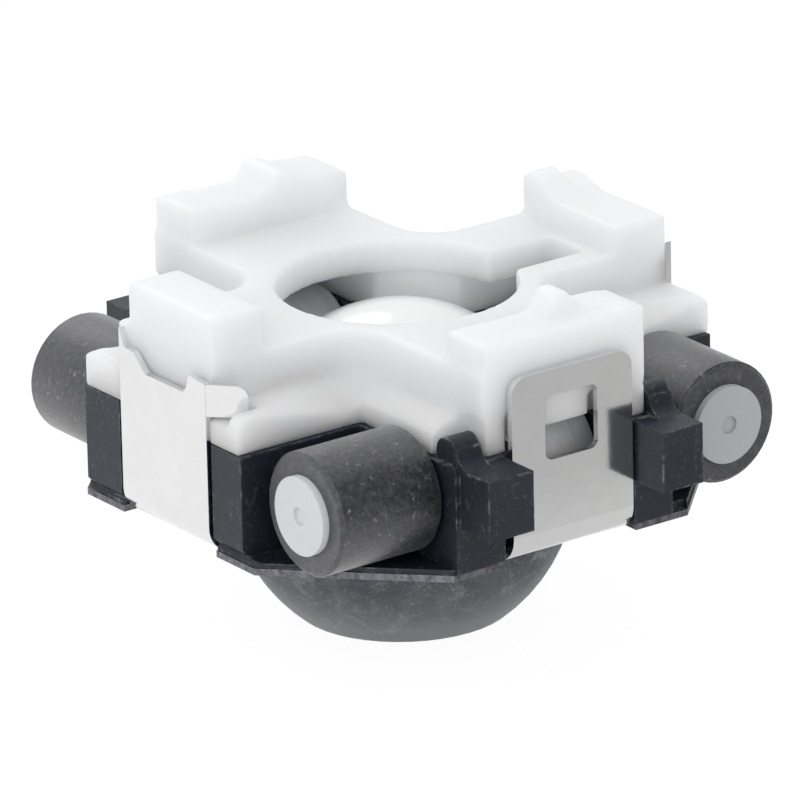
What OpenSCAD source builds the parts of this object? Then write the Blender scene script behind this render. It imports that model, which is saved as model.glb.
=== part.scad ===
// Miniature four-roller trackball switch, drawn ball side down as in the photo.
// Millimetres. The origin is on the axis of the ball, in the middle of the collar's straight part.

/* [Steel shell] */
// Half the width across the flats of the shell
half_width = 5.0; // [4.9:0.05:5.3]
// Thickness of the sheet
sheet = 0.12; // [0.1:0.01:0.16]
// Half the width of an upturned tab
tab_half = 1.28; // [1.1:0.02:1.3]
// Height of the two tabs that have a window
window_tab_top = 3.38; // [3.1:0.02:3.6]
// Radius of the top corners of those tabs
tab_corner = 0.3; // [0.05:0.05:0.5]
// Outer radius of the bend between the plate and a tab
bend_radius = 0.5; // [0.3:0.05:0.6]
// Width of the window
window_width = 1.12; // [0.8:0.02:1.2]
// Lower edge of the window
window_low = 1.76; // [1.6:0.02:1.9]
// Upper edge of the window
window_high = 2.92; // [2.7:0.02:3.0]
// Height of the tallest point of a notched tab
notched_top = 3.44; // [3.3:0.02:3.5]
// Floor of the notch
notch_floor = 2.8; // [2.7:0.02:2.9]
// Lower edge of the ear
ear_low = 2.54; // [2.5:0.01:2.7]
// Length of the ear that is bent inwards on a notched tab
ear_length = 0.75; // [0.3:0.05:0.9]

/* [Black moulded housing] */
// Height of the side walls
wall_top = 2.05; // [1.9:0.01:2.06]
// Depth of a magnet bay, from the flat of the shell to the back wall
bay_depth = 2.8; // [2.7:0.02:2.85]
// Length of a magnet bay, from the flat of the shell to the end wall
bay_length = 2.56; // [2.54:0.01:2.6]
// How far a lug stands out from the flat of the shell
lug_out = 0.77; // [0.4:0.02:1.0]
// Width of a lug
lug_width = 0.95; // [0.7:0.05:0.95]
// Lower face of a lug
lug_low = 0.93; // [0.7:0.02:1.1]
// Upper face of a lug
lug_high = 2.02; // [1.8:0.02:2.05]
// Top of the rounded rib beside a lug
rib_top = 2.5; // [2.2:0.02:2.6]
// Thickness of the floor under the magnets
floor_thick = 0.09; // [0.05:0.01:0.1]

/* [Ball and collar] */
// Height of the centre of the ball
ball_z = 0.2; // [0.15:0.01:0.25]
// Height above the bottom of the ball where the straight opening begins
opening_rise = 0.65; // [0.5:0.05:0.8]
// Wall of the domed collar
dome_wall = 0.15; // [0.1:0.01:0.2]
// Step between the dome and the straight part of the collar
pilot_step = 0.06; // [0.03:0.01:0.1]
// Length of the straight part below the plate
pilot_length = 0.35; // [0.2:0.05:0.5]
// Free space around the ball
ball_gap = 0.06; // [0.04:0.01:0.08]

/* [Rollers] */
// Height of the roller axes
axis_z = 1.347; // [1.34:0.001:1.36]
// Distance of a roller axis from the flat of the shell
axis_inset = 1.425; // [1.36:0.005:1.43]
// Gap between a drum and the ball
drum_gap = 0.03; // [0.02:0.005:0.06]
// Radius of the steel drum
drum_r = 0.875; // [0.8:0.005:0.88]
// Length of the steel drum
drum_length = 1.8; // [1.2:0.05:1.9]
// Radius of the shaft
shaft_r = 0.25; // [0.2:0.01:0.3]
// Radius of a magnet
magnet_r = 1.095; // [0.95:0.005:1.1]
// Distance of a magnet's outer end from the flat of the shell
magnet_inset = 0.384; // [0.3:0.01:0.6]
// Gap between a magnet's inner end and the end wall of its bay
magnet_gap = 0.056; // [0.03:0.005:0.2]
// Radius of the pale core of a magnet
hub_r = 0.7; // [0.5:0.02:0.8]
// How far the core stands out of the magnet
hub_out = 0.12; // [0.05:0.01:0.2]
// Radial free space between a shaft and its bearing
shaft_gap = 0.03; // [0.02:0.01:0.06]

/* [White cover] */
// Top of the ring
ring_top = 3.5; // [3.4:0.02:3.6]
// How much smaller the hole in the ring is than the ball, as a radius
ring_lip = 0.73; // [0.6:0.02:1.0]
// Lower edge of the ring wall
ring_low = 2.9; // [2.8:0.02:3.0]
// How much wider the hole is below the ring, as a radius
well_step = 0.16; // [0.1:0.02:0.25]
// Lowest face of the flange
flange_low = 2.07; // [2.07:0.01:2.1]
// Top of the ledges beside the tabs
ledge_top = 2.73; // [2.6:0.02:2.8]
// Top of the plain side blocks
block_top = 4.05; // [3.9:0.02:4.1]
// Top of the tallest side block
tall_block_top = 4.27; // [4.1:0.02:4.4]
// Height of the rounded bumps above the side blocks
bump_height = 0.38; // [0.2:0.02:0.5]
// Length of the notch in the ring, from the hole outwards
notch_length = 1.33; // [0.5:0.05:1.4]
// Distance from the flat of the shell to the left side of the +Y and -Y arms
arm_left_inset = 3.22; // [3.2:0.02:3.4]
// Distance from the flat of the shell to the right side of the +Y and -Y arms
arm_right_inset = 3.3; // [3.25:0.02:3.4]
// Distance from the flat of the shell to the near side of the +X and -X blocks
block_near_inset = 3.68; // [3.6:0.02:3.8]
// Distance from the flat of the shell to the far side of the +X and -X blocks
block_far_inset = 3.82; // [3.7:0.02:4.0]
// Radial depth of the side blocks
block_depth = 1.1; // [0.9:0.05:1.2]

/* [Hidden] */
e = 0.01;
tab_root = 0.3;
// The frame's origin is the middle of the collar's straight part.
relief = 0.06;
stem_step = 0.14;
plate_level = relief + pilot_length / 2;
wall_half = half_width - 0.05;
bay_floor = sheet + floor_thick;
window_half = window_width / 2;
block_out = half_width - sheet - 0.03;
arm_left = half_width - arm_left_inset;
arm_right = half_width - arm_right_inset;
block_near = half_width - block_near_inset;
block_far = half_width - block_far_inset;
bay_back = half_width - bay_depth;
bay_end = half_width - bay_length;
corner_cut = half_width / 2;
lug_reach = half_width + lug_out;
axis_out = half_width - axis_inset;
ball_r = norm([axis_out, axis_z - ball_z]) - drum_r - drum_gap;
ring_hole_r = ball_r - ring_lip;
notch_reach = ring_hole_r + notch_length;
ball_space = ball_r + ball_gap;
dome_r = ball_space + dome_wall;
pilot_r = dome_r + pilot_step;
stem_r = pilot_r - stem_step;
well_r = ring_hole_r + well_step;
opening_depth = ball_r - opening_rise;
opening_r = sqrt(ball_space * ball_space - opening_depth * opening_depth) + e;
opening_z = ball_z - opening_depth;
magnet_out = half_width - magnet_inset;
magnet_length = magnet_out - bay_end - magnet_gap;
// Steps at the foot of the shell, the ribs and the blocks, seen from the middle
rib_out = half_width - 0.12;
rib_in = half_width - 0.67;
block_in = half_width - 0.13 - block_depth;
rib_fillet = 0.38;
shaft_end = bay_back - 0.5;
lug_left = -bay_end;
flange_flat = 0.16;
flange_run = 0.85;
flange_layers = 8;
flange_rise = (ledge_top - flange_low - flange_flat) / flange_layers;
lug_right = bay_back;
$fa = 6;
$fs = 0.06;

// Helpers
module placed() {
  translate([0, 0, plate_level]) children();
}

module box(a, b) {
  translate(a) cube(b - a);
}

// Runs along X, drawn from a YZ outline.
module along_x(x0, x1) {
  translate([x0, 0, 0]) rotate([90, 0, 90]) linear_extrude(x1 - x0) children();
}

// Runs along Y, drawn from an XZ outline.
module along_y(y0, y1) {
  translate([0, y1, 0]) rotate([90, 0, 0]) linear_extrude(y1 - y0) children();
}

module rod_x(x0, x1, r) {
  translate([x0, 0, 0]) rotate([0, 90, 0]) cylinder(h = x1 - x0, r = r, $fn = 48);
}

// Puts a roller part at the front and turns it to its own side.
module at_side(turn) {
  rotate([0, 0, turn]) translate([0, -axis_out, axis_z]) children();
}

// Steel shell
function octagon(h, c) = [
  [-h, -c], [-c, -h], [c, -h], [h, -c], [h, c], [c, h], [-c, h], [-h, c]
];

// L-shaped strip of a tab: flat, bend and upright part, seen from the side.
module tab_side(top) {
  r = bend_radius;
  difference() {
    union() {
      translate([half_width - r, 0]) intersection() {
        translate([0, r]) circle(r = r, $fn = 48);
        square([r, r]);
      }
      translate([half_width - r - tab_root, 0]) square([tab_root + e, sheet]);
      translate([half_width - sheet, r]) square([sheet, top - r]);
    }
    translate([half_width - r, r]) circle(r = r - sheet, $fn = 48);
  }
}

module tab_strip(top) {
  rotate([0, 0, -90]) rotate([90, 0, 0])
    linear_extrude(2 * tab_half, center = true) tab_side(top);
}

module rounded_top(w, z0, z1, r) {
  hull() {
    translate([-w, z0]) square([2 * w, 0.1]);
    translate([-w + r, z1 - r]) circle(r = r, $fn = 24);
    translate([w - r, z1 - r]) circle(r = r, $fn = 24);
  }
}

module window_tab() {
  difference() {
    intersection() {
      tab_strip(window_tab_top);
      along_y(-half_width - 1, -half_width + 1.5)
        rounded_top(tab_half, 0, window_tab_top, tab_corner);
    }
    along_y(-half_width - 1, -half_width + 1)
      translate([-0.02, 0]) offset(r = 0.15, $fn = 24) offset(delta = -0.15)
        translate([-window_half, window_low])
          square([window_width, window_high - window_low]);
  }
}

// The notched tab, drawn as if it stood at the front.
module notched_tab() {
  difference() {
    tab_strip(notched_top);
    along_y(-half_width - 1, -half_width + 1) polygon([
      [-tab_half - e, notched_top + 0.1], [-tab_half + 0.03, notched_top - 0.04],
      [-0.89 * tab_half, notched_top - 0.31], [-0.67 * tab_half, notched_top - 0.33],
      [-0.41 * tab_half, notch_floor], [0.47 * tab_half, notch_floor],
      [0.55 * tab_half, notch_floor + 0.1], [0.62 * tab_half, notched_top - 0.28],
      [tab_half + e, notched_top - 0.32], [tab_half + e, notched_top + 0.2]
    ]);
  }
  // ear, bent inwards
  translate([tab_half - e, -half_width, 0]) rotate([0, 0, 45])
    along_y(0, sheet) polygon([
      [0, ear_low], [ear_length, ear_low], [ear_length, notched_top - 0.5],
      [ear_length - 0.06, notched_top - 0.39], [ear_length - 0.18, notched_top - 0.33],
      [0, notched_top - 0.32]
    ]);
}

module shell() {
  color([0.78, 0.78, 0.77]) union() {
    difference() {
      linear_extrude(sheet) polygon(octagon(half_width - 0.07, corner_cut));
      translate([0, 0, -e]) cylinder(h = 1, r = pilot_r + 0.03, $fn = 96);
      for (a = [0 : 90 : 270]) rotate([0, 0, a])
        box([-tab_half - 0.1, -half_width - 1, -e], [tab_half + 0.1, -half_width + bend_radius, 1]);
    }
    for (a = [0, 180]) rotate([0, 0, a]) window_tab();
    for (a = [90, 270]) rotate([0, 0, a]) notched_tab();
  }
}

// Housing
module wall_plan() {
  difference() {
    polygon(octagon(wall_half, corner_cut - 0.04));
    for (a = [0 : 90 : 270]) rotate([0, 0, a])
      translate([-half_width - 1, -half_width - 1])
        square([half_width + 1 - bay_end, half_width + 1 - bay_back]);
  }
}

module lug(x0, x1) {
  box([x0, -lug_reach, lug_low], [x1, -half_width + 0.4, lug_high]);
}

// Rounded rib that closes the bearing slot on the outside.
module rib(x0, x1) {
  r = (rib_out - rib_in) / 2;
  along_x(x0, x1) difference() {
    union() {
      translate([-rib_out, lug_low]) square([2 * r, rib_top - r - lug_low]);
      translate([-rib_out + r, rib_top - r]) circle(r = r, $fn = 32);
      translate([-rib_out - rib_fillet, lug_high - 0.05]) square([rib_fillet + r, rib_fillet]);
    }
    translate([-rib_out - rib_fillet, lug_high + rib_fillet]) circle(r = rib_fillet, $fn = 48);
  }
}

module drum_room(turn) {
  at_side(turn) {
    box([-drum_length / 2 - 0.06, -axis_inset - 1, -drum_r - 0.06],
        [drum_length / 2 + 0.06, axis_inset, 2]);
    // bearing slot, open at the top
    rod_x(-bay_end - 0.1, shaft_end + 0.05, shaft_r + shaft_gap);
    box([-bay_end - 0.1, -shaft_r - shaft_gap, 0], [shaft_end + 0.05, shaft_r + shaft_gap, 2]);
  }
}

module side_lugs() {
  lug(lug_left + 0.08, lug_left + 0.08 + lug_width);
  lug(tab_half + 0.06, lug_right);
  rib(lug_left + 0.06, lug_left + 0.59);
  rib(lug_right - 0.48, lug_right);
}

module housing() {
  color([0.13, 0.14, 0.17]) difference() {
    union() {
      translate([0, 0, sheet]) linear_extrude(floor_thick)
        polygon(octagon(half_width - 0.1, corner_cut - 0.02));
      translate([0, 0, sheet]) linear_extrude(wall_top - sheet) wall_plan();
      for (a = [0, 180]) rotate([0, 0, a]) side_lugs();
    }
    // room for the ball and its collar flange
    translate([0, 0, -e]) cylinder(h = 3, r = ball_space + 0.02, $fn = 96);
    translate([0, 0, sheet - e]) cylinder(h = 0.26, r = pilot_r + 0.42, $fn = 96);
    for (a = [0 : 90 : 270]) drum_room(a);
    // room for the tabs and their bends
    for (a = [0 : 90 : 270]) rotate([0, 0, a]) {
      box([-tab_half - 0.12, -half_width - 0.1, -e],
          [tab_half + 0.06, -half_width + sheet + 0.02, 4]);
      along_x(-tab_half - 0.12, tab_half + 0.06) polygon([
        [-half_width - e, -e], [-half_width + bend_radius + 0.1, -e],
        [-half_width + bend_radius + 0.1, sheet + 0.01], [-half_width + bend_radius, sheet + 0.02],
        [-half_width + sheet, bend_radius + 0.05], [-half_width - e, bend_radius + 0.05]
      ]);
    }
    // lower front faces beside the tabs of the lug sides
    for (a = [0, 180]) rotate([0, 0, a]) {
      box([-tab_half - 0.14, -half_width - e, -e], [-tab_half + 0.08, -half_width + 0.35, 0.6]);
      box([lug_right - 0.04, -half_width - e, -e], [lug_right + 0.4, -half_width + 0.3, 0.6]);
    }
    // small chamfer at the foot of the flush walls
    for (a = [90, 270]) rotate([0, 0, a]) along_x(-bay_end - 1, bay_end + 1) polygon([
      [-wall_half - e, 0], [-wall_half + 0.12, bay_floor], [-wall_half - e, bay_floor + 0.14]
    ]);
  }
}

// Ball and collar
module ball_collar() {
  color([0.2, 0.2, 0.22]) difference() {
    union() {
      translate([0, 0, sheet + 0.01]) cylinder(h = 0.22, r = pilot_r + 0.38, $fn = 96);
      translate([0, 0, -relief - pilot_length]) cylinder(h = pilot_length, r = pilot_r, $fn = 96);
      translate([0, 0, -relief - e])
        cylinder(h = relief + sheet + 0.03, r1 = pilot_r - relief, r2 = stem_r, $fn = 96);
      intersection() {
        translate([0, 0, -0.1]) sphere(r = dome_r, $fn = 96);
        translate([0, 0, -half_width]) cylinder(h = half_width - relief - e, r = half_width);
      }
    }
    translate([0, 0, ball_z]) sphere(r = ball_space, $fn = 96);
    translate([0, 0, ball_z]) cylinder(h = 3, r = ball_space, $fn = 96);
    translate([0, 0, -half_width]) cylinder(h = half_width + opening_z, r = opening_r, $fn = 96);
  }
}

module ball() {
  color([0.93, 0.93, 0.91]) translate([0, 0, ball_z]) sphere(r = ball_r, $fn = 72);
}

// Rollers: a shaft with a steel drum, and a ring magnet on a pale core.
module shaft(turn) {
  color([0.7, 0.7, 0.7]) at_side(turn) {
    rod_x(-bay_end - 0.4, shaft_end, shaft_r);
  }
}

module drum(turn) {
  color([0.62, 0.62, 0.61]) at_side(turn) difference() {
    rod_x(-drum_length / 2, drum_length / 2, drum_r);
    rod_x(-drum_length, drum_length, shaft_r);
  }
}

module hub(turn) {
  color([0.8, 0.81, 0.82]) at_side(turn) difference() {
    rod_x(-magnet_out - hub_out, -magnet_out + magnet_length, hub_r);
    rod_x(-bay_end - 0.4, -bay_end + 1, shaft_r);
    rod_x(-magnet_out - hub_out - e, -magnet_out - hub_out + 0.05, 0.16);
  }
}

module magnet(turn) {
  color([0.25, 0.25, 0.27]) at_side(turn) difference() {
    union() {
      rod_x(-magnet_out + 0.05, -magnet_out + magnet_length - 0.05, magnet_r);
      rod_x(-magnet_out, -magnet_out + magnet_length, magnet_r - 0.05);
    }
    rod_x(-magnet_out - 1, 0, hub_r);
  }
}

// Cover
module plus(xl, xr, yl, yh, reach, r) {
  offset(r = -r, $fn = 64) offset(delta = r) union() {
    translate([xl, -reach]) square([xr - xl, 2 * reach]);
    translate([-reach, yl]) square([2 * reach, yh - yl]);
  }
}

module flange_plan() {
  intersection() {
    difference() {
      square(2 * half_width - 0.02, center = true);
      for (a = [0 : 90 : 270]) rotate([0, 0, a])
        translate([-half_width - 1, -half_width - 1])
          square([half_width + 1 - bay_end + 0.06, half_width + 1 - bay_back + 0.02]);
    }
    union() {
      square([2 * half_width, 2 * bay_end], center = true);
      square([2 * bay_end, 2 * (rib_in - 0.13)], center = true);
    }
  }
}

module ring_plan() {
  plus(-arm_left, arm_right, -block_near, block_far + 0.32, block_out, 0.85);
}

// Top of the flange: the ring and a full-height wedge at the outer ends of the X arms.
module vault_plan() {
  ring_plan();
  w = bay_back;
  for (sx = [-1, 1]) for (sy = [-1, 1]) scale([sx, sy]) polygon([
    [block_out, 0], [block_out, -w], [block_out - 0.15, -w + 0.02], [block_out - 0.7, -w + 0.25],
    [block_out - 1.3, -w + 0.56], [block_out - 1.8, -w + 0.8], [block_out - 1.8, 0]
  ]);
}

module block_outline_y() {
  polygon([
    [-arm_left + 0.06, ring_low], [-arm_left + 0.06, block_top], [-0.1, block_top - 0.04], [0.06, block_top + 0.15],
    [0.16, block_top + bump_height - 0.06], [0.3, block_top + bump_height],
    [0.45, block_top + bump_height - 0.03], [0.58, block_top + 0.2], [0.74, block_top + 0.06],
    [1.0, block_top + 0.03], [1.35, block_top + 0.02], [arm_right, block_top - 0.04], [arm_right, ring_low]
  ]);
}

module low_outline_y() {
  polygon([
    [-arm_left + 0.06, ring_low], [-arm_left + 0.06, block_top], [0.85, block_top - 0.04], [1.35, block_top + 0.02],
    [arm_right, block_top - 0.04], [arm_right, ring_low]
  ]);
}

// The far block is fuller beside its bump.
module far_outline_y() {
  polygon([
    [-arm_left + 0.06, ring_low], [-arm_left + 0.06, block_top + 0.1], [-0.15, block_top],
    [0.06, block_top + 0.15], [0.16, block_top + bump_height - 0.06], [0.3, block_top + bump_height],
    [0.45, block_top + bump_height - 0.05], [0.7, block_top + 0.22], [1.0, block_top + 0.17],
    [1.4, block_top + 0.15], [arm_right - 0.08, block_top + 0.1], [arm_right, block_top],
    [arm_right, ring_low]
  ]);
}

// Outline of the +X block. Its bump stands on the inner half only.
module bump_outline_x(rise) {
  polygon([
    [-block_near, ring_low], [-block_near, block_top - 0.08], [0.4, block_top - 0.1],
    [0.75, block_top + 0.2 * rise], [0.95, block_top + 0.9 * rise], [1.1, block_top + rise],
    [1.25, block_top + rise], [block_far + 0.24, block_top + 0.5 * rise],
    [block_far + 0.24, ring_low]
  ]);
}

module side_block_y(near) {
  if (near) {
    along_y(-block_out, -block_in) low_outline_y();
    along_y(-block_in - block_depth / 2, -block_in) block_outline_y();
  } else {
    along_y(-block_out, -block_in) far_outline_y();
  }
}

module cover_solid() {
  // ring and arms
  translate([0, 0, ledge_top - e]) linear_extrude(ring_top - ledge_top + e) ring_plan();
  // flange over the housing, sloping down from the ring to the bays in thin layers
  translate([0, 0, flange_low]) linear_extrude(flange_flat + e) flange_plan();
  for (i = [1 : flange_layers]) translate([0, 0, flange_low + flange_flat + (i - 1) * flange_rise])
    linear_extrude(flange_rise + e) intersection() {
      flange_plan();
      offset(r = flange_run * (1 - pow(i / flange_layers, 1.5)) + 0.03, $fn = 48) vault_plan();
    }
  side_block_y(true);
  mirror([0, 1, 0]) side_block_y(false);
  // plain tall block and the block with a bump
  box([-block_out, -block_near, ring_low], [-block_in, block_far, tall_block_top]);
  along_x(block_in, block_out) bump_outline_x(0.08);
  along_x(block_in, block_in + block_depth / 2) bump_outline_x(0.28);
}

module feet() {
  // feet that reach down beside the window tab
  for (s = [0, 1]) mirror([0, s, 0]) {
    box([-arm_left + 0.06, -block_out, lug_high + 0.02], [-tab_half - 0.02, -rib_in + 0.13, ring_low]);
    box([tab_half + 0.02, -block_out, lug_high + 0.02], [arm_right - 0.04, -rib_in + 0.13, ring_low]);
    // snap nub behind the window
    box([-window_half + 0.06, -block_out, window_low + 0.55], [window_half - 0.1, -rib_in, window_high + 0.2]);
  }
}

module cover() {
  color([0.92, 0.93, 0.95]) difference() {
    union() {
      cover_solid();
      feet();
    }
    cylinder(h = 6, r = ring_hole_r, $fn = 96);
    cylinder(h = ring_low, r = well_r, $fn = 96);
    // notch in the ring
    box([0, -0.8, ring_low - 0.2], [notch_reach, 0.2, ring_top + 1]);
    // room for the tabs, the ribs and the drums
    for (a = [0 : 90 : 270]) rotate([0, 0, a])
      box([-tab_half - 0.04, -half_width - 1, 0], [tab_half + 0.04, -block_out, 5]);
    for (a = [0, 180]) rotate([0, 0, a]) {
      box([-half_width, -half_width, 0], [-arm_left, -rib_in + 0.13, rib_top + 0.06]);
      box([arm_right - 0.04, -half_width, 0], [half_width, -rib_in + 0.13, rib_top + 0.06]);
    }
    for (a = [90, 270]) rotate([0, 0, a])
      box([tab_half - 0.02, -half_width - 1, ear_low - 0.04],
          [tab_half + 0.8 * ear_length, -half_width + 0.9 * ear_length, notched_top - 0.14]);
    for (a = [0 : 90 : 270]) at_side(a) {
      rod_x(-drum_length / 2 - 0.1, drum_length / 2 + 0.1, drum_r + 0.06);
      box([-drum_length / 2 - 0.1, -0.3, 0], [drum_length / 2 + 0.1, axis_out, ring_low - axis_z]);
      rod_x(-magnet_out - 1, -bay_end, magnet_r + 0.05);
    }
  }
}

placed() shell();
placed() housing();
placed() ball_collar();
placed() cover();
placed() ball();
placed() shaft(0);  // front_shaft
placed() drum(0);  // front_drum
placed() hub(0);  // front_hub
placed() magnet(0);  // front_magnet
placed() shaft(90);  // right_shaft
placed() drum(90);  // right_drum
placed() hub(90);  // right_hub
placed() magnet(90);  // right_magnet
placed() shaft(180);  // back_shaft
placed() drum(180);  // back_drum
placed() hub(180);  // back_hub
placed() magnet(180);  // back_magnet
placed() shaft(270);  // left_shaft
placed() drum(270);  // left_drum
placed() hub(270);  // left_hub
placed() magnet(270);  // left_magnet
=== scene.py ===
"""A miniature four-roller trackball switch, lit as in its product photo. Metres."""

import math

import bpy
from mathutils import Matrix, Vector

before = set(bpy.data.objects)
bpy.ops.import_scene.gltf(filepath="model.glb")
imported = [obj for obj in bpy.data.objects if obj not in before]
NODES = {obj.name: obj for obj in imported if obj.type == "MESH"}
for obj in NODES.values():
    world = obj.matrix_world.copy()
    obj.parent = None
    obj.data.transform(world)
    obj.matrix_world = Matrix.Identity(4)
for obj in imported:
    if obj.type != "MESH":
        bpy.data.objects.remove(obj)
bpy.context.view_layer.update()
MM = 0.001
SIDES = ("front", "right", "back", "left")
PLATE = 0.235  # height of the steel plate above the frame's origin, mm
SHEET = 0.14  # thickness of the sheet with a little room, mm
TAB_FOOT = 1.3  # beyond this from both axes the sheet's rim is a bare sheared edge, mm
BEVEL_SAMPLES = 6
EDGE_GAIN = 9.0  # how fast an outer edge turns pale


# Shader helpers
class Shader:
    """A material with its node tree, built from short calls."""

    def __init__(self, name):
        self.mat = bpy.data.materials.new(name)
        self.mat.use_nodes = True
        self.tree = self.mat.node_tree
        self.bsdf = self.tree.nodes["Principled BSDF"]
        self.coord = self.add("ShaderNodeTexCoord").outputs["Object"]

    def add(self, kind, **sockets):
        """A node with its inputs set by name; a space in a name is written _."""
        node = self.tree.nodes.new(kind)
        for key, value in sockets.items():
            self.put(node.inputs[key.replace("_", " ")], value)
        return node

    def put(self, socket, value):
        """Links another node's output, or sets a plain value."""
        if isinstance(value, bpy.types.NodeSocket):
            self.tree.links.new(value, socket)
        else:
            socket.default_value = value

    def set(self, **sockets):
        """Sets the surface shader's own sockets."""
        for key, value in sockets.items():
            self.put(self.bsdf.inputs[key.replace("_", " ")], value)

    def noise(self, scale, detail=4.0, rough=0.55, stretch=None, distortion=0.0):
        where = self.coord
        if stretch:
            move = self.add("ShaderNodeMapping", Vector=where)
            move.inputs["Scale"].default_value = stretch
            where = move.outputs[0]
        node = self.add("ShaderNodeTexNoise", Vector=where, Scale=scale, Detail=detail,
                        Roughness=rough, Distortion=distortion)
        return node.outputs["Fac"]

    def ramp(self, value, stops):
        """Greys or colours by value. stops holds pairs of place and tone."""
        node = self.add("ShaderNodeValToRGB", Fac=value)
        points = node.color_ramp.elements
        while len(points) > 1:
            points.remove(points[-1])
        points[0].position, points[0].color = stops[0][0], grey(stops[0][1])
        for place, colour in stops[1:]:
            point = points.new(place)
            point.color = grey(colour)
        return node.outputs["Color"]

    def mix(self, factor, a, b):
        node = self.add("ShaderNodeMix")
        node.data_type = "RGBA"
        self.put(node.inputs[0], factor)
        self.put(node.inputs[6], grey(a))
        self.put(node.inputs[7], grey(b))
        return node.outputs[2]

    def math(self, operation, a, b=0.0, clamp=False):
        node = self.add("ShaderNodeMath")
        node.operation = operation
        node.use_clamp = clamp
        self.put(node.inputs[0], a)
        self.put(node.inputs[1], b)
        return node.outputs[0]

    def edge_highlight_and_wear(self, width):
        """Painted highlight on outer edges, broken up by noise like wear."""
        bevel = self.add("ShaderNodeBevel")
        bevel.samples = BEVEL_SAMPLES
        bevel.inputs["Radius"].default_value = width
        plain = self.add("ShaderNodeNewGeometry").outputs["Normal"]
        lean = self.add("ShaderNodeVectorMath")
        lean.operation = "DOT_PRODUCT"
        self.put(lean.inputs[0], bevel.outputs[0])
        self.put(lean.inputs[1], plain)
        bent = self.math("SUBTRACT", 1.0, lean.outputs["Value"])
        gain = self.math("MULTIPLY", bent, EDGE_GAIN, clamp=True)
        patches = self.ramp(self.noise(1900, 6, 0.8, distortion=0.6),
                            [(0.0, 0.0), (0.5, 0.04), (0.64, 1.0)])
        return self.math("MULTIPLY", gain, patches)

    def part(self, value, axis):
        return self.add("ShaderNodeSeparateXYZ", Vector=value).outputs[axis]

    def bump(self, height, strength, distance):
        node = self.add("ShaderNodeBump", Height=height, Strength=strength, Distance=distance)
        return node.outputs[0]


def grey(value):
    """A full colour from a grey tone or three parts; a socket passes unchanged."""
    if isinstance(value, bpy.types.NodeSocket):
        return value
    if isinstance(value, (int, float)):
        return (value, value, value, 1.0)
    return tuple(value) + (1.0,)


# Materials
def steel_sheet():
    """Bright rolled steel, faintly stained, with rough sheared edges."""
    s = Shader("steel_sheet")
    grain = s.noise(2600, 5, 0.6)
    cloud = s.noise(260, 3, 0.5)
    colour = s.mix(cloud, (0.77, 0.772, 0.775), (0.87, 0.865, 0.855))
    stain = s.ramp(s.noise(1500, 7, 0.75), [(0.35, 0.0), (0.7, 1.0)])
    colour = s.mix(s.math("MULTIPLY", stain, 0.16), colour, (0.56, 0.56, 0.56))
    rough = s.add("ShaderNodeMapRange", Value=cloud, From_Min=0.3, From_Max=0.7,
                  To_Min=0.09, To_Max=0.15).outputs[0]
    # sheared edge of the plate: rougher and darker than the rolled faces
    where = s.coord
    inner = s.math("MINIMUM", s.math("ABSOLUTE", s.part(where, "X")),
                   s.math("ABSOLUTE", s.part(where, "Y")))
    facing = s.part(s.add("ShaderNodeNewGeometry").outputs["Normal"], "Z")
    sideways = s.math("LESS_THAN", s.math("ABSOLUTE", facing), 0.6)
    low = s.math("LESS_THAN", s.part(where, "Z"), (PLATE + SHEET) * MM)
    edge = s.math("MULTIPLY", s.math("GREATER_THAN", inner, TAB_FOOT * MM),
                  s.math("MULTIPLY", sideways, low))
    torn = s.noise(7000, 6, 0.75, stretch=(1, 1, 0.8))
    torn = s.ramp(torn, [(0.36, 0.0), (0.66, 1.0)])
    colour = s.mix(edge, colour, s.mix(torn, (0.1, 0.1, 0.115), (0.3, 0.3, 0.33)))
    rough = s.math("ADD", rough, s.math("MULTIPLY", edge, 0.4))
    s.set(Base_Color=colour, Metallic=1.0, Roughness=rough, Normal=s.bump(grain, 0.12, 0.00002))
    return s.mat


def turned_steel(name, along, base):
    """Satin steel with fine turning rings across its axis."""
    s = Shader(name)
    stretch = (60, 2, 2) if along == "x" else (2, 60, 2)
    rings = s.noise(240, 3, 0.6, stretch=stretch)
    colour = s.mix(rings, base * 0.75, base * 1.15)
    s.set(Base_Color=colour, Metallic=0.2, Roughness=0.45, Normal=s.bump(rings, 0.3, 0.00001))
    return s.mat


def black_moulding():
    """Blue-black plastic, scuffed and dusty, with a painted highlight on its outer edges."""
    s = Shader("black_moulding")
    fine = s.noise(24000, 3, 0.7)
    cloud = s.noise(700, 4, 0.6)
    scuffs = s.ramp(s.noise(4200, 7, 0.78, distortion=1.4), [(0.0, 0.0), (0.57, 0.0), (0.7, 1.0)])
    dust = s.ramp(s.noise(11000, 4, 0.7), [(0.0, 0.0), (0.6, 0.0), (0.76, 1.0)])
    base = s.mix(cloud, (0.007, 0.009, 0.017), (0.02, 0.024, 0.038))
    colour = s.mix(s.math("MULTIPLY", scuffs, 0.2), base, (0.36, 0.37, 0.4))
    colour = s.mix(s.math("MULTIPLY", dust, 0.16), colour, (0.42, 0.43, 0.46))
    # painted highlight on the outer edges, broken up by noise like wear
    colour = s.mix(s.math("MULTIPLY", s.edge_highlight_and_wear(0.00007), 0.5), colour, (0.46, 0.47, 0.5))
    s.set(Base_Color=colour, Roughness=0.45, Normal=s.bump(fine, 0.3, 0.00003))
    s.bsdf.inputs["Specular IOR Level"].default_value = 0.42
    return s.mat


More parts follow.
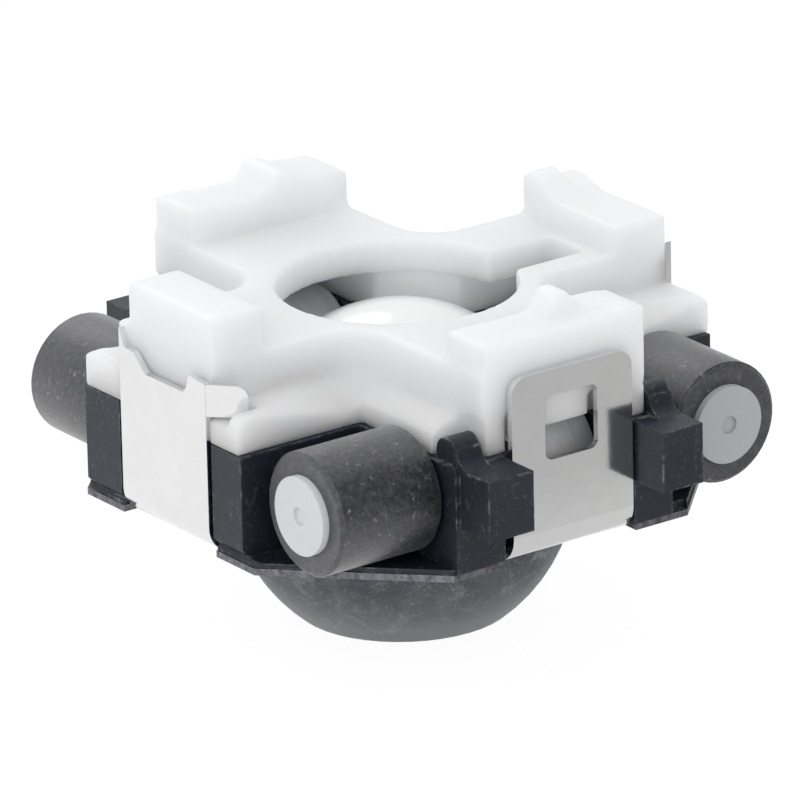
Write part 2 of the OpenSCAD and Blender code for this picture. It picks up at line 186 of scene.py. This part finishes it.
def collar_moulding():
    """Dark grey plastic dome, hazy and smeared, with a painted floor reflection that makes it
    paler towards its bottom.
    """
    s = Shader("collar_moulding")
    fine = s.noise(16000, 5, 0.7)
    specks = s.ramp(s.noise(15000, 2, 0.5), [(0.0, 0.0), (0.62, 0.0), (0.72, 1.0)])
    worn = s.noise(900, 6, 0.75, distortion=0.8)
    # painted reflection of the white floor: the colour runs from dark at the top to pale at the
    # dome's bottom
    height = s.math("MULTIPLY", s.part(s.coord, "Z"), -520.0, clamp=True)
    height = s.math("MULTIPLY", height, s.math("MULTIPLY", height, height))
    base = s.mix(height, (0.03, 0.034, 0.046), (0.26, 0.265, 0.275))
    base = s.mix(s.math("MULTIPLY", worn, 0.4), base, (0.1, 0.106, 0.12))
    haze = s.ramp(s.noise(900, 7, 0.8), [(0.0, 0.0), (0.42, 0.0), (0.62, 1.0)])
    base = s.mix(s.math("MULTIPLY", haze, 0.22), base, (0.3, 0.31, 0.33))
    smears = s.ramp(s.noise(1250, 8, 0.82, distortion=1.2), [(0.0, 0.0), (0.53, 0.0), (0.66, 1.0)])
    base = s.mix(s.math("MULTIPLY", smears, 0.42), base, (0.42, 0.43, 0.45))
    colour = s.mix(s.math("MULTIPLY", specks, 0.25), base, (0.5, 0.5, 0.49))
    s.set(Base_Color=colour, Roughness=0.5, Normal=s.bump(fine, 0.4, 0.00004))
    s.bsdf.inputs["Specular IOR Level"].default_value = 0.35
    return s.mat


def pressed_magnet():
    """Pressed ferrite: nearly black, grainy, with pale and brown specks."""
    s = Shader("pressed_magnet")
    fine = s.noise(20000, 3, 0.7)
    cloud = s.noise(3500, 6, 0.7)
    lumps = s.noise(9000, 5, 0.75)
    wide = s.ramp(s.noise(900, 5, 0.7), [(0.3, 0.0), (0.68, 1.0)])
    cloud = s.ramp(cloud, [(0.3, 0.0), (0.7, 1.0)])
    base = s.mix(cloud, (0.002, 0.003, 0.006), (0.01, 0.011, 0.017))
    base = s.mix(s.math("MULTIPLY", wide, 0.4), base, (0.026, 0.028, 0.036))
    base = s.mix(s.math("MULTIPLY", s.ramp(lumps, [(0.44, 0.0), (0.72, 1.0)]), 0.5), base,
                 (0.12, 0.12, 0.13))
    pale = s.ramp(s.noise(7600, 3, 0.55), [(0.0, 0.0), (0.64, 0.0), (0.76, 1.0)])
    brown = s.ramp(s.noise(6000, 3, 0.6), [(0.0, 0.0), (0.62, 0.0), (0.76, 1.0)])
    colour = s.mix(s.math("MULTIPLY", brown, 0.3), base, (0.17, 0.14, 0.12))
    colour = s.mix(s.math("MULTIPLY", pale, 0.4), colour, (0.5, 0.5, 0.5))
    # painted highlight on the outer edges, broken up by noise like wear
    colour = s.mix(s.math("MULTIPLY", s.edge_highlight_and_wear(0.00009), 0.3), colour, (0.3, 0.31, 0.33))
    s.set(Base_Color=colour, Roughness=0.36, Normal=s.bump(fine, 0.4, 0.00004))
    s.bsdf.inputs["Specular IOR Level"].default_value = 0.9
    s.bsdf.inputs["Coat Weight"].default_value = 0.4
    s.bsdf.inputs["Coat Roughness"].default_value = 0.32
    s.bsdf.inputs["Sheen Weight"].default_value = 0.16
    s.bsdf.inputs["Sheen Roughness"].default_value = 0.35
    return s.mat


def pale_core(name, tone):
    """Pale grey moulded core in the given tone; the tone carries painted light and shade."""
    s = Shader(name)
    cloud = s.noise(1800, 5, 0.6)
    fine = s.noise(6000, 3, 0.6)
    colour = s.mix(cloud, (tone * 0.93, tone * 0.95, tone * 0.97), (tone * 1.05,) * 3)
    s.set(Base_Color=colour, Roughness=0.55, Normal=s.bump(fine, 0.3, 0.00003))
    return s.mat


def white_cover():
    """Milky white plastic that lets light through its edges."""
    s = Shader("white_cover")
    cloud = s.noise(350, 3, 0.5)
    fine = s.noise(5200, 3, 0.6)
    colour = s.mix(cloud, (0.795, 0.805, 0.828), (0.84, 0.848, 0.867))
    s.set(Base_Color=colour, Roughness=0.42, Normal=s.bump(fine, 0.06, 0.00002))
    s.bsdf.inputs["Subsurface Weight"].default_value = 0.9
    s.bsdf.inputs["Subsurface Radius"].default_value = (1.0, 1.05, 1.15)
    s.bsdf.inputs["Subsurface Scale"].default_value = 0.0016
    s.bsdf.inputs["Specular IOR Level"].default_value = 0.35
    return s.mat


def pearl_ball():
    """Polished white ball under a clear skin."""
    s = Shader("pearl_ball")
    cloud = s.noise(500, 4, 0.6)
    colour = s.mix(cloud, (0.86, 0.86, 0.85), (0.92, 0.92, 0.91))
    s.set(Base_Color=colour, Roughness=0.16)
    s.bsdf.inputs["Coat Weight"].default_value = 0.5
    s.bsdf.inputs["Coat Roughness"].default_value = 0.05
    return s.mat


# Frame pieces
WELD_GAP = 0.002  # mm
SHARP_ANGLE = 32  # an edge that bends more than this is rounded, degrees
COVER_CELL, COVER_ROUNDS = 0.055, 4  # grid of the cover's skin in mm, smoothing rounds
# one core material in per-side tones that hold painted light and shade: the front lit, the right
# shaded
CORE_LIT_AND_SHADED_TONES = {"front": 0.68, "right": 0.42, "back": 0.55, "left": 0.55}
TURNED_TONE = 0.85


def weld(obj):
    """Joins the loose triangles of a frame piece."""
    join = obj.modifiers.new("weld", "WELD")
    join.merge_threshold = WELD_GAP * MM


def soften(obj, width):
    """Rounds the sharp edges of a frame piece a little, without changing its mesh."""
    weld(obj)
    bevel = obj.modifiers.new("edges", "BEVEL")
    bevel.width = width * MM
    bevel.segments = 3
    bevel.limit_method = "ANGLE"
    bevel.angle_limit = math.radians(SHARP_ANGLE)
    bevel.use_clamp_overlap = True
    bevel.harden_normals = False
    normals = obj.modifiers.new("normals", "WEIGHTED_NORMAL")
    normals.keep_sharp = True


def melt(obj, cell, rounds):
    """Rounds a frame piece all over, as a soft translucent moulding is."""
    weld(obj)
    grid = obj.modifiers.new("grid", "REMESH")
    grid.mode = "VOXEL"
    grid.voxel_size = cell * MM
    grid.use_smooth_shade = True
    ease = obj.modifiers.new("ease", "SMOOTH")
    ease.factor = 0.5
    ease.iterations = rounds


def dress(obj, material):
    obj.data.materials.clear()
    obj.data.materials.append(material)


def dress_frame():
    """Gives each frame piece its material and the width of its rounded edges in mm."""
    magnet = pressed_magnet()
    finish = {
        "shell": (steel_sheet(), 0.018), "housing": (black_moulding(), 0.035),
        "ball_collar": (collar_moulding(), 0.04), "cover": (white_cover(), 0.0),
        "ball": (pearl_ball(), 0.0),
    }
    for side in SIDES:
        along = "x" if side in ("front", "back") else "y"
        turned = turned_steel("turned_" + side, along, TURNED_TONE)
        finish[side + "_shaft"] = (turned, 0.0)
        finish[side + "_drum"] = (turned, 0.02)
        # lighter and darker copies of one core: painted light and shade
        finish[side + "_hub"] = (pale_core("core_" + side, CORE_LIT_AND_SHADED_TONES[side]), 0.05)
        finish[side + "_magnet"] = (magnet, 0.03)
    for name, (material, width) in finish.items():
        obj = NODES[name]
        dress(obj, material)
        if name == "cover":
            melt(obj, COVER_CELL, COVER_ROUNDS)
        elif width:
            soften(obj, width)


# Stage
LEVEL = 0.84  # the surround's plain strength
FLOOR_HALF = 0.6  # m
FLOOR_WHITE = 1.04  # strength of the floor's plain white
FLOOR_GLOW = 0.92  # share of the floor that looks plain white; the rest takes the shadow
FLOOR_Z, CARD_Z = -2.45, -2.43  # mm
CARD = (-0.001, 0.04, -0.0025, -0.045)  # left, right, near and far edge, m
CARD_TONES = (0.7, 0.53)  # near the object and away from it
CARD_FADE = (-0.0105, -0.0138)  # where the tone changes along Y, m
AIM = (0, 0, 0.002)  # m
LAMPS = (  # name, place and size in m, power in W
    ("key", (-0.16, -0.05, 0.2), 0.14, 0.08),
    ("fill", (0.1, -0.22, 0.12), 0.16, 0.025),
    ("back_light", (0.05, 0.2, 0.16), 0.14, 0.05),
)
# direction, where its change starts and is full, and the change of strength
LOBES = (
    ((0.56, -0.78, -0.28), 0.72, 0.97, -0.34),
    ((-0.76, -0.55, -0.35), 0.75, 0.97, 0.5),
    ((-0.2, 0.1, 1.0), 0.3, 1.0, 0.12),
)
OPENING = ((0.55, -0.76, 0.3), 0.5, 0.9, 0.92)  # the tent's dark mouth, low in front


def towards(tree, coord, direction, start, end, change):
    """A value that grows from 0 to change as the ray nears the direction."""
    lean = tree.nodes.new("ShaderNodeVectorMath")
    lean.operation = "DOT_PRODUCT"
    lean.inputs[1].default_value = Vector(direction).normalized()
    tree.links.new(coord, lean.inputs[0])
    grow = tree.nodes.new("ShaderNodeMapRange")
    grow.interpolation_type = "SMOOTHSTEP"
    for key, value in (("From Min", start), ("From Max", end), ("To Min", 0.0),
                       ("To Max", change)):
        grow.inputs[key].default_value = value
    tree.links.new(lean.outputs["Value"], grow.inputs["Value"])
    return grow.outputs[0]


def reckon(tree, operation, a, b):
    """One step of arithmetic on values or sockets."""
    node = tree.nodes.new("ShaderNodeMath")
    node.operation = operation
    for socket, value in zip(node.inputs, (a, b)):
        if isinstance(value, bpy.types.NodeSocket):
            tree.links.new(value, socket)
        else:
            socket.default_value = value
    return node.outputs[0]


def world_light():
    """Soft white surround, dimmer and brighter by direction. The camera sees plain white."""
    world = bpy.data.worlds.new("surround")
    bpy.context.scene.world = world
    world.use_nodes = True
    tree = world.node_tree
    tree.nodes.clear()
    seen = tree.nodes.new("ShaderNodeLightPath").outputs
    coord = tree.nodes.new("ShaderNodeTexCoord").outputs["Generated"]
    strength = LEVEL
    for lobe in LOBES:
        strength = reckon(tree, "ADD", strength, towards(tree, coord, *lobe))
    # only shiny faces see the tent's dark mouth
    shut = reckon(tree, "MULTIPLY", towards(tree, coord, *OPENING), seen["Is Glossy Ray"])
    strength = reckon(tree, "MULTIPLY", strength, reckon(tree, "SUBTRACT", 1.0, shut))
    plain = tree.nodes.new("ShaderNodeBackground")
    plain.inputs["Color"].default_value = (1, 1, 1, 1)
    plain.inputs["Strength"].default_value = 1.0
    soft = tree.nodes.new("ShaderNodeBackground")
    soft.inputs["Color"].default_value = (0.985, 0.99, 1.0, 1)
    tree.links.new(strength, soft.inputs["Strength"])
    pick = tree.nodes.new("ShaderNodeMixShader")
    tree.links.new(seen["Is Camera Ray"], pick.inputs[0])
    tree.links.new(soft.outputs[0], pick.inputs[1])
    tree.links.new(plain.outputs[0], pick.inputs[2])
    out = tree.nodes.new("ShaderNodeOutputWorld")
    tree.links.new(pick.outputs[0], out.inputs["Surface"])


def lamp(name, place, size, power):
    """A round soft lamp aimed at the object."""
    light = bpy.data.lights.new(name, "AREA")
    light.shape = "DISK"
    light.size = size
    light.energy = power
    obj = bpy.data.objects.new(name, light)
    bpy.context.scene.collection.objects.link(obj)
    obj.location = place
    aim = Vector(AIM) - Vector(place)
    obj.rotation_euler = aim.to_track_quat("-Z", "Y").to_euler()


def sheet(name, left, right, near, far, height):
    """A flat stage piece that faces up, with an empty material. Returns both."""
    mesh = bpy.data.meshes.new(name)
    mesh.from_pydata([(left, near, height), (right, near, height), (right, far, height),
                      (left, far, height)], [], [(0, 1, 2, 3)])
    obj = bpy.data.objects.new(name, mesh)
    bpy.context.scene.collection.objects.link(obj)
    mat = bpy.data.materials.new(name)
    mat.use_nodes = True
    mat.node_tree.nodes.clear()
    mesh.materials.append(mat)
    return obj, mat.node_tree


def floor(height):
    """Pale floor. It renders white to the eye and keeps a soft shadow of the object."""
    half = FLOOR_HALF
    _, tree = sheet("floor", -half, half, -half, half, height)
    glow = tree.nodes.new("ShaderNodeEmission")
    glow.inputs["Strength"].default_value = FLOOR_WHITE
    paint = tree.nodes.new("ShaderNodeBsdfDiffuse")
    paint.inputs["Color"].default_value = (0.9, 0.9, 0.9, 1)
    seen = tree.nodes.new("ShaderNodeLightPath").outputs
    shiny = reckon(tree, "MAXIMUM", seen["Is Glossy Ray"], seen["Is Transmission Ray"])
    direct = reckon(tree, "MAXIMUM", seen["Is Camera Ray"], shiny)
    top = tree.nodes.new("ShaderNodeMixShader")
    tree.links.new(reckon(tree, "MULTIPLY", direct, FLOOR_GLOW), top.inputs[0])
    tree.links.new(paint.outputs[0], top.inputs[1])
    tree.links.new(glow.outputs[0], top.inputs[2])
    # clear from underneath, so that the object is seen from below too
    clear = tree.nodes.new("ShaderNodeBsdfTransparent")
    back = tree.nodes.new("ShaderNodeNewGeometry")
    both = tree.nodes.new("ShaderNodeMixShader")
    tree.links.new(back.outputs["Backfacing"], both.inputs[0])
    tree.links.new(top.outputs[0], both.inputs[1])
    tree.links.new(clear.outputs[0], both.inputs[2])
    out = tree.nodes.new("ShaderNodeOutputMaterial")
    tree.links.new(both.outputs[0], out.inputs["Surface"])


def grey_card(height):
    """Grey card on the floor in front. Only the shiny faces see it, as on a photo table."""
    left, right, near, far = CARD
    obj, tree = sheet("grey_card", left, right, far, near, height)
    where = tree.nodes.new("ShaderNodeTexCoord")
    split = tree.nodes.new("ShaderNodeSeparateXYZ")
    tree.links.new(where.outputs["Object"], split.inputs[0])
    fade = tree.nodes.new("ShaderNodeMapRange")
    for key, value in (("From Min", CARD_FADE[0]), ("From Max", CARD_FADE[1]),
                       ("To Min", CARD_TONES[0]), ("To Max", CARD_TONES[1])):
        fade.inputs[key].default_value = value
    tree.links.new(split.outputs["Y"], fade.inputs["Value"])
    glow = tree.nodes.new("ShaderNodeEmission")
    tree.links.new(fade.outputs[0], glow.inputs["Strength"])
    out = tree.nodes.new("ShaderNodeOutputMaterial")
    tree.links.new(glow.outputs[0], out.inputs["Surface"])
    for way in ("visible_camera", "visible_diffuse", "visible_transmission", "visible_shadow"):
        setattr(obj, way, False)


VIEW_ANGLES = (-35.754, 20.482, -1.305)  # turn, tilt and roll, degrees
VIEW_DISTANCE = 0.176068  # m
VIEW_TARGET = 1.29  # height above the steel plate, mm
LENS = 455.07  # mm


def camera():
    """The photo's camera, fitted to the object's corners."""
    turn, tilt, roll = (math.radians(v) for v in VIEW_ANGLES)
    distance, target = VIEW_DISTANCE, Vector((0, 0, (VIEW_TARGET + PLATE) * MM))
    back = Vector((math.sin(turn) * math.cos(tilt), -math.cos(turn) * math.cos(tilt),
                   math.sin(tilt)))
    right = Vector((math.cos(turn), math.sin(turn), 0))
    up = back.cross(right)
    right, up = (right * math.cos(roll) + up * math.sin(roll),
                 up * math.cos(roll) - right * math.sin(roll))
    cam = bpy.data.objects.new("camera", bpy.data.cameras.new("camera"))
    bpy.context.scene.collection.objects.link(cam)
    cam.matrix_world = Matrix((
        (right.x, up.x, back.x, (target + back * distance).x),
        (right.y, up.y, back.y, (target + back * distance).y),
        (right.z, up.z, back.z, (target + back * distance).z),
        (0, 0, 0, 1)))
    cam.data.lens = LENS
    cam.data.sensor_width = 36
    cam.data.clip_start = 0.005
    cam.data.clip_end = 10
    bpy.context.scene.camera = cam


dress_frame()
world_light()
floor(FLOOR_Z * MM)
grey_card(CARD_Z * MM)
for row in LAMPS:
    lamp(*row)
camera()
bpy.context.scene.view_settings.view_transform = "Standard"
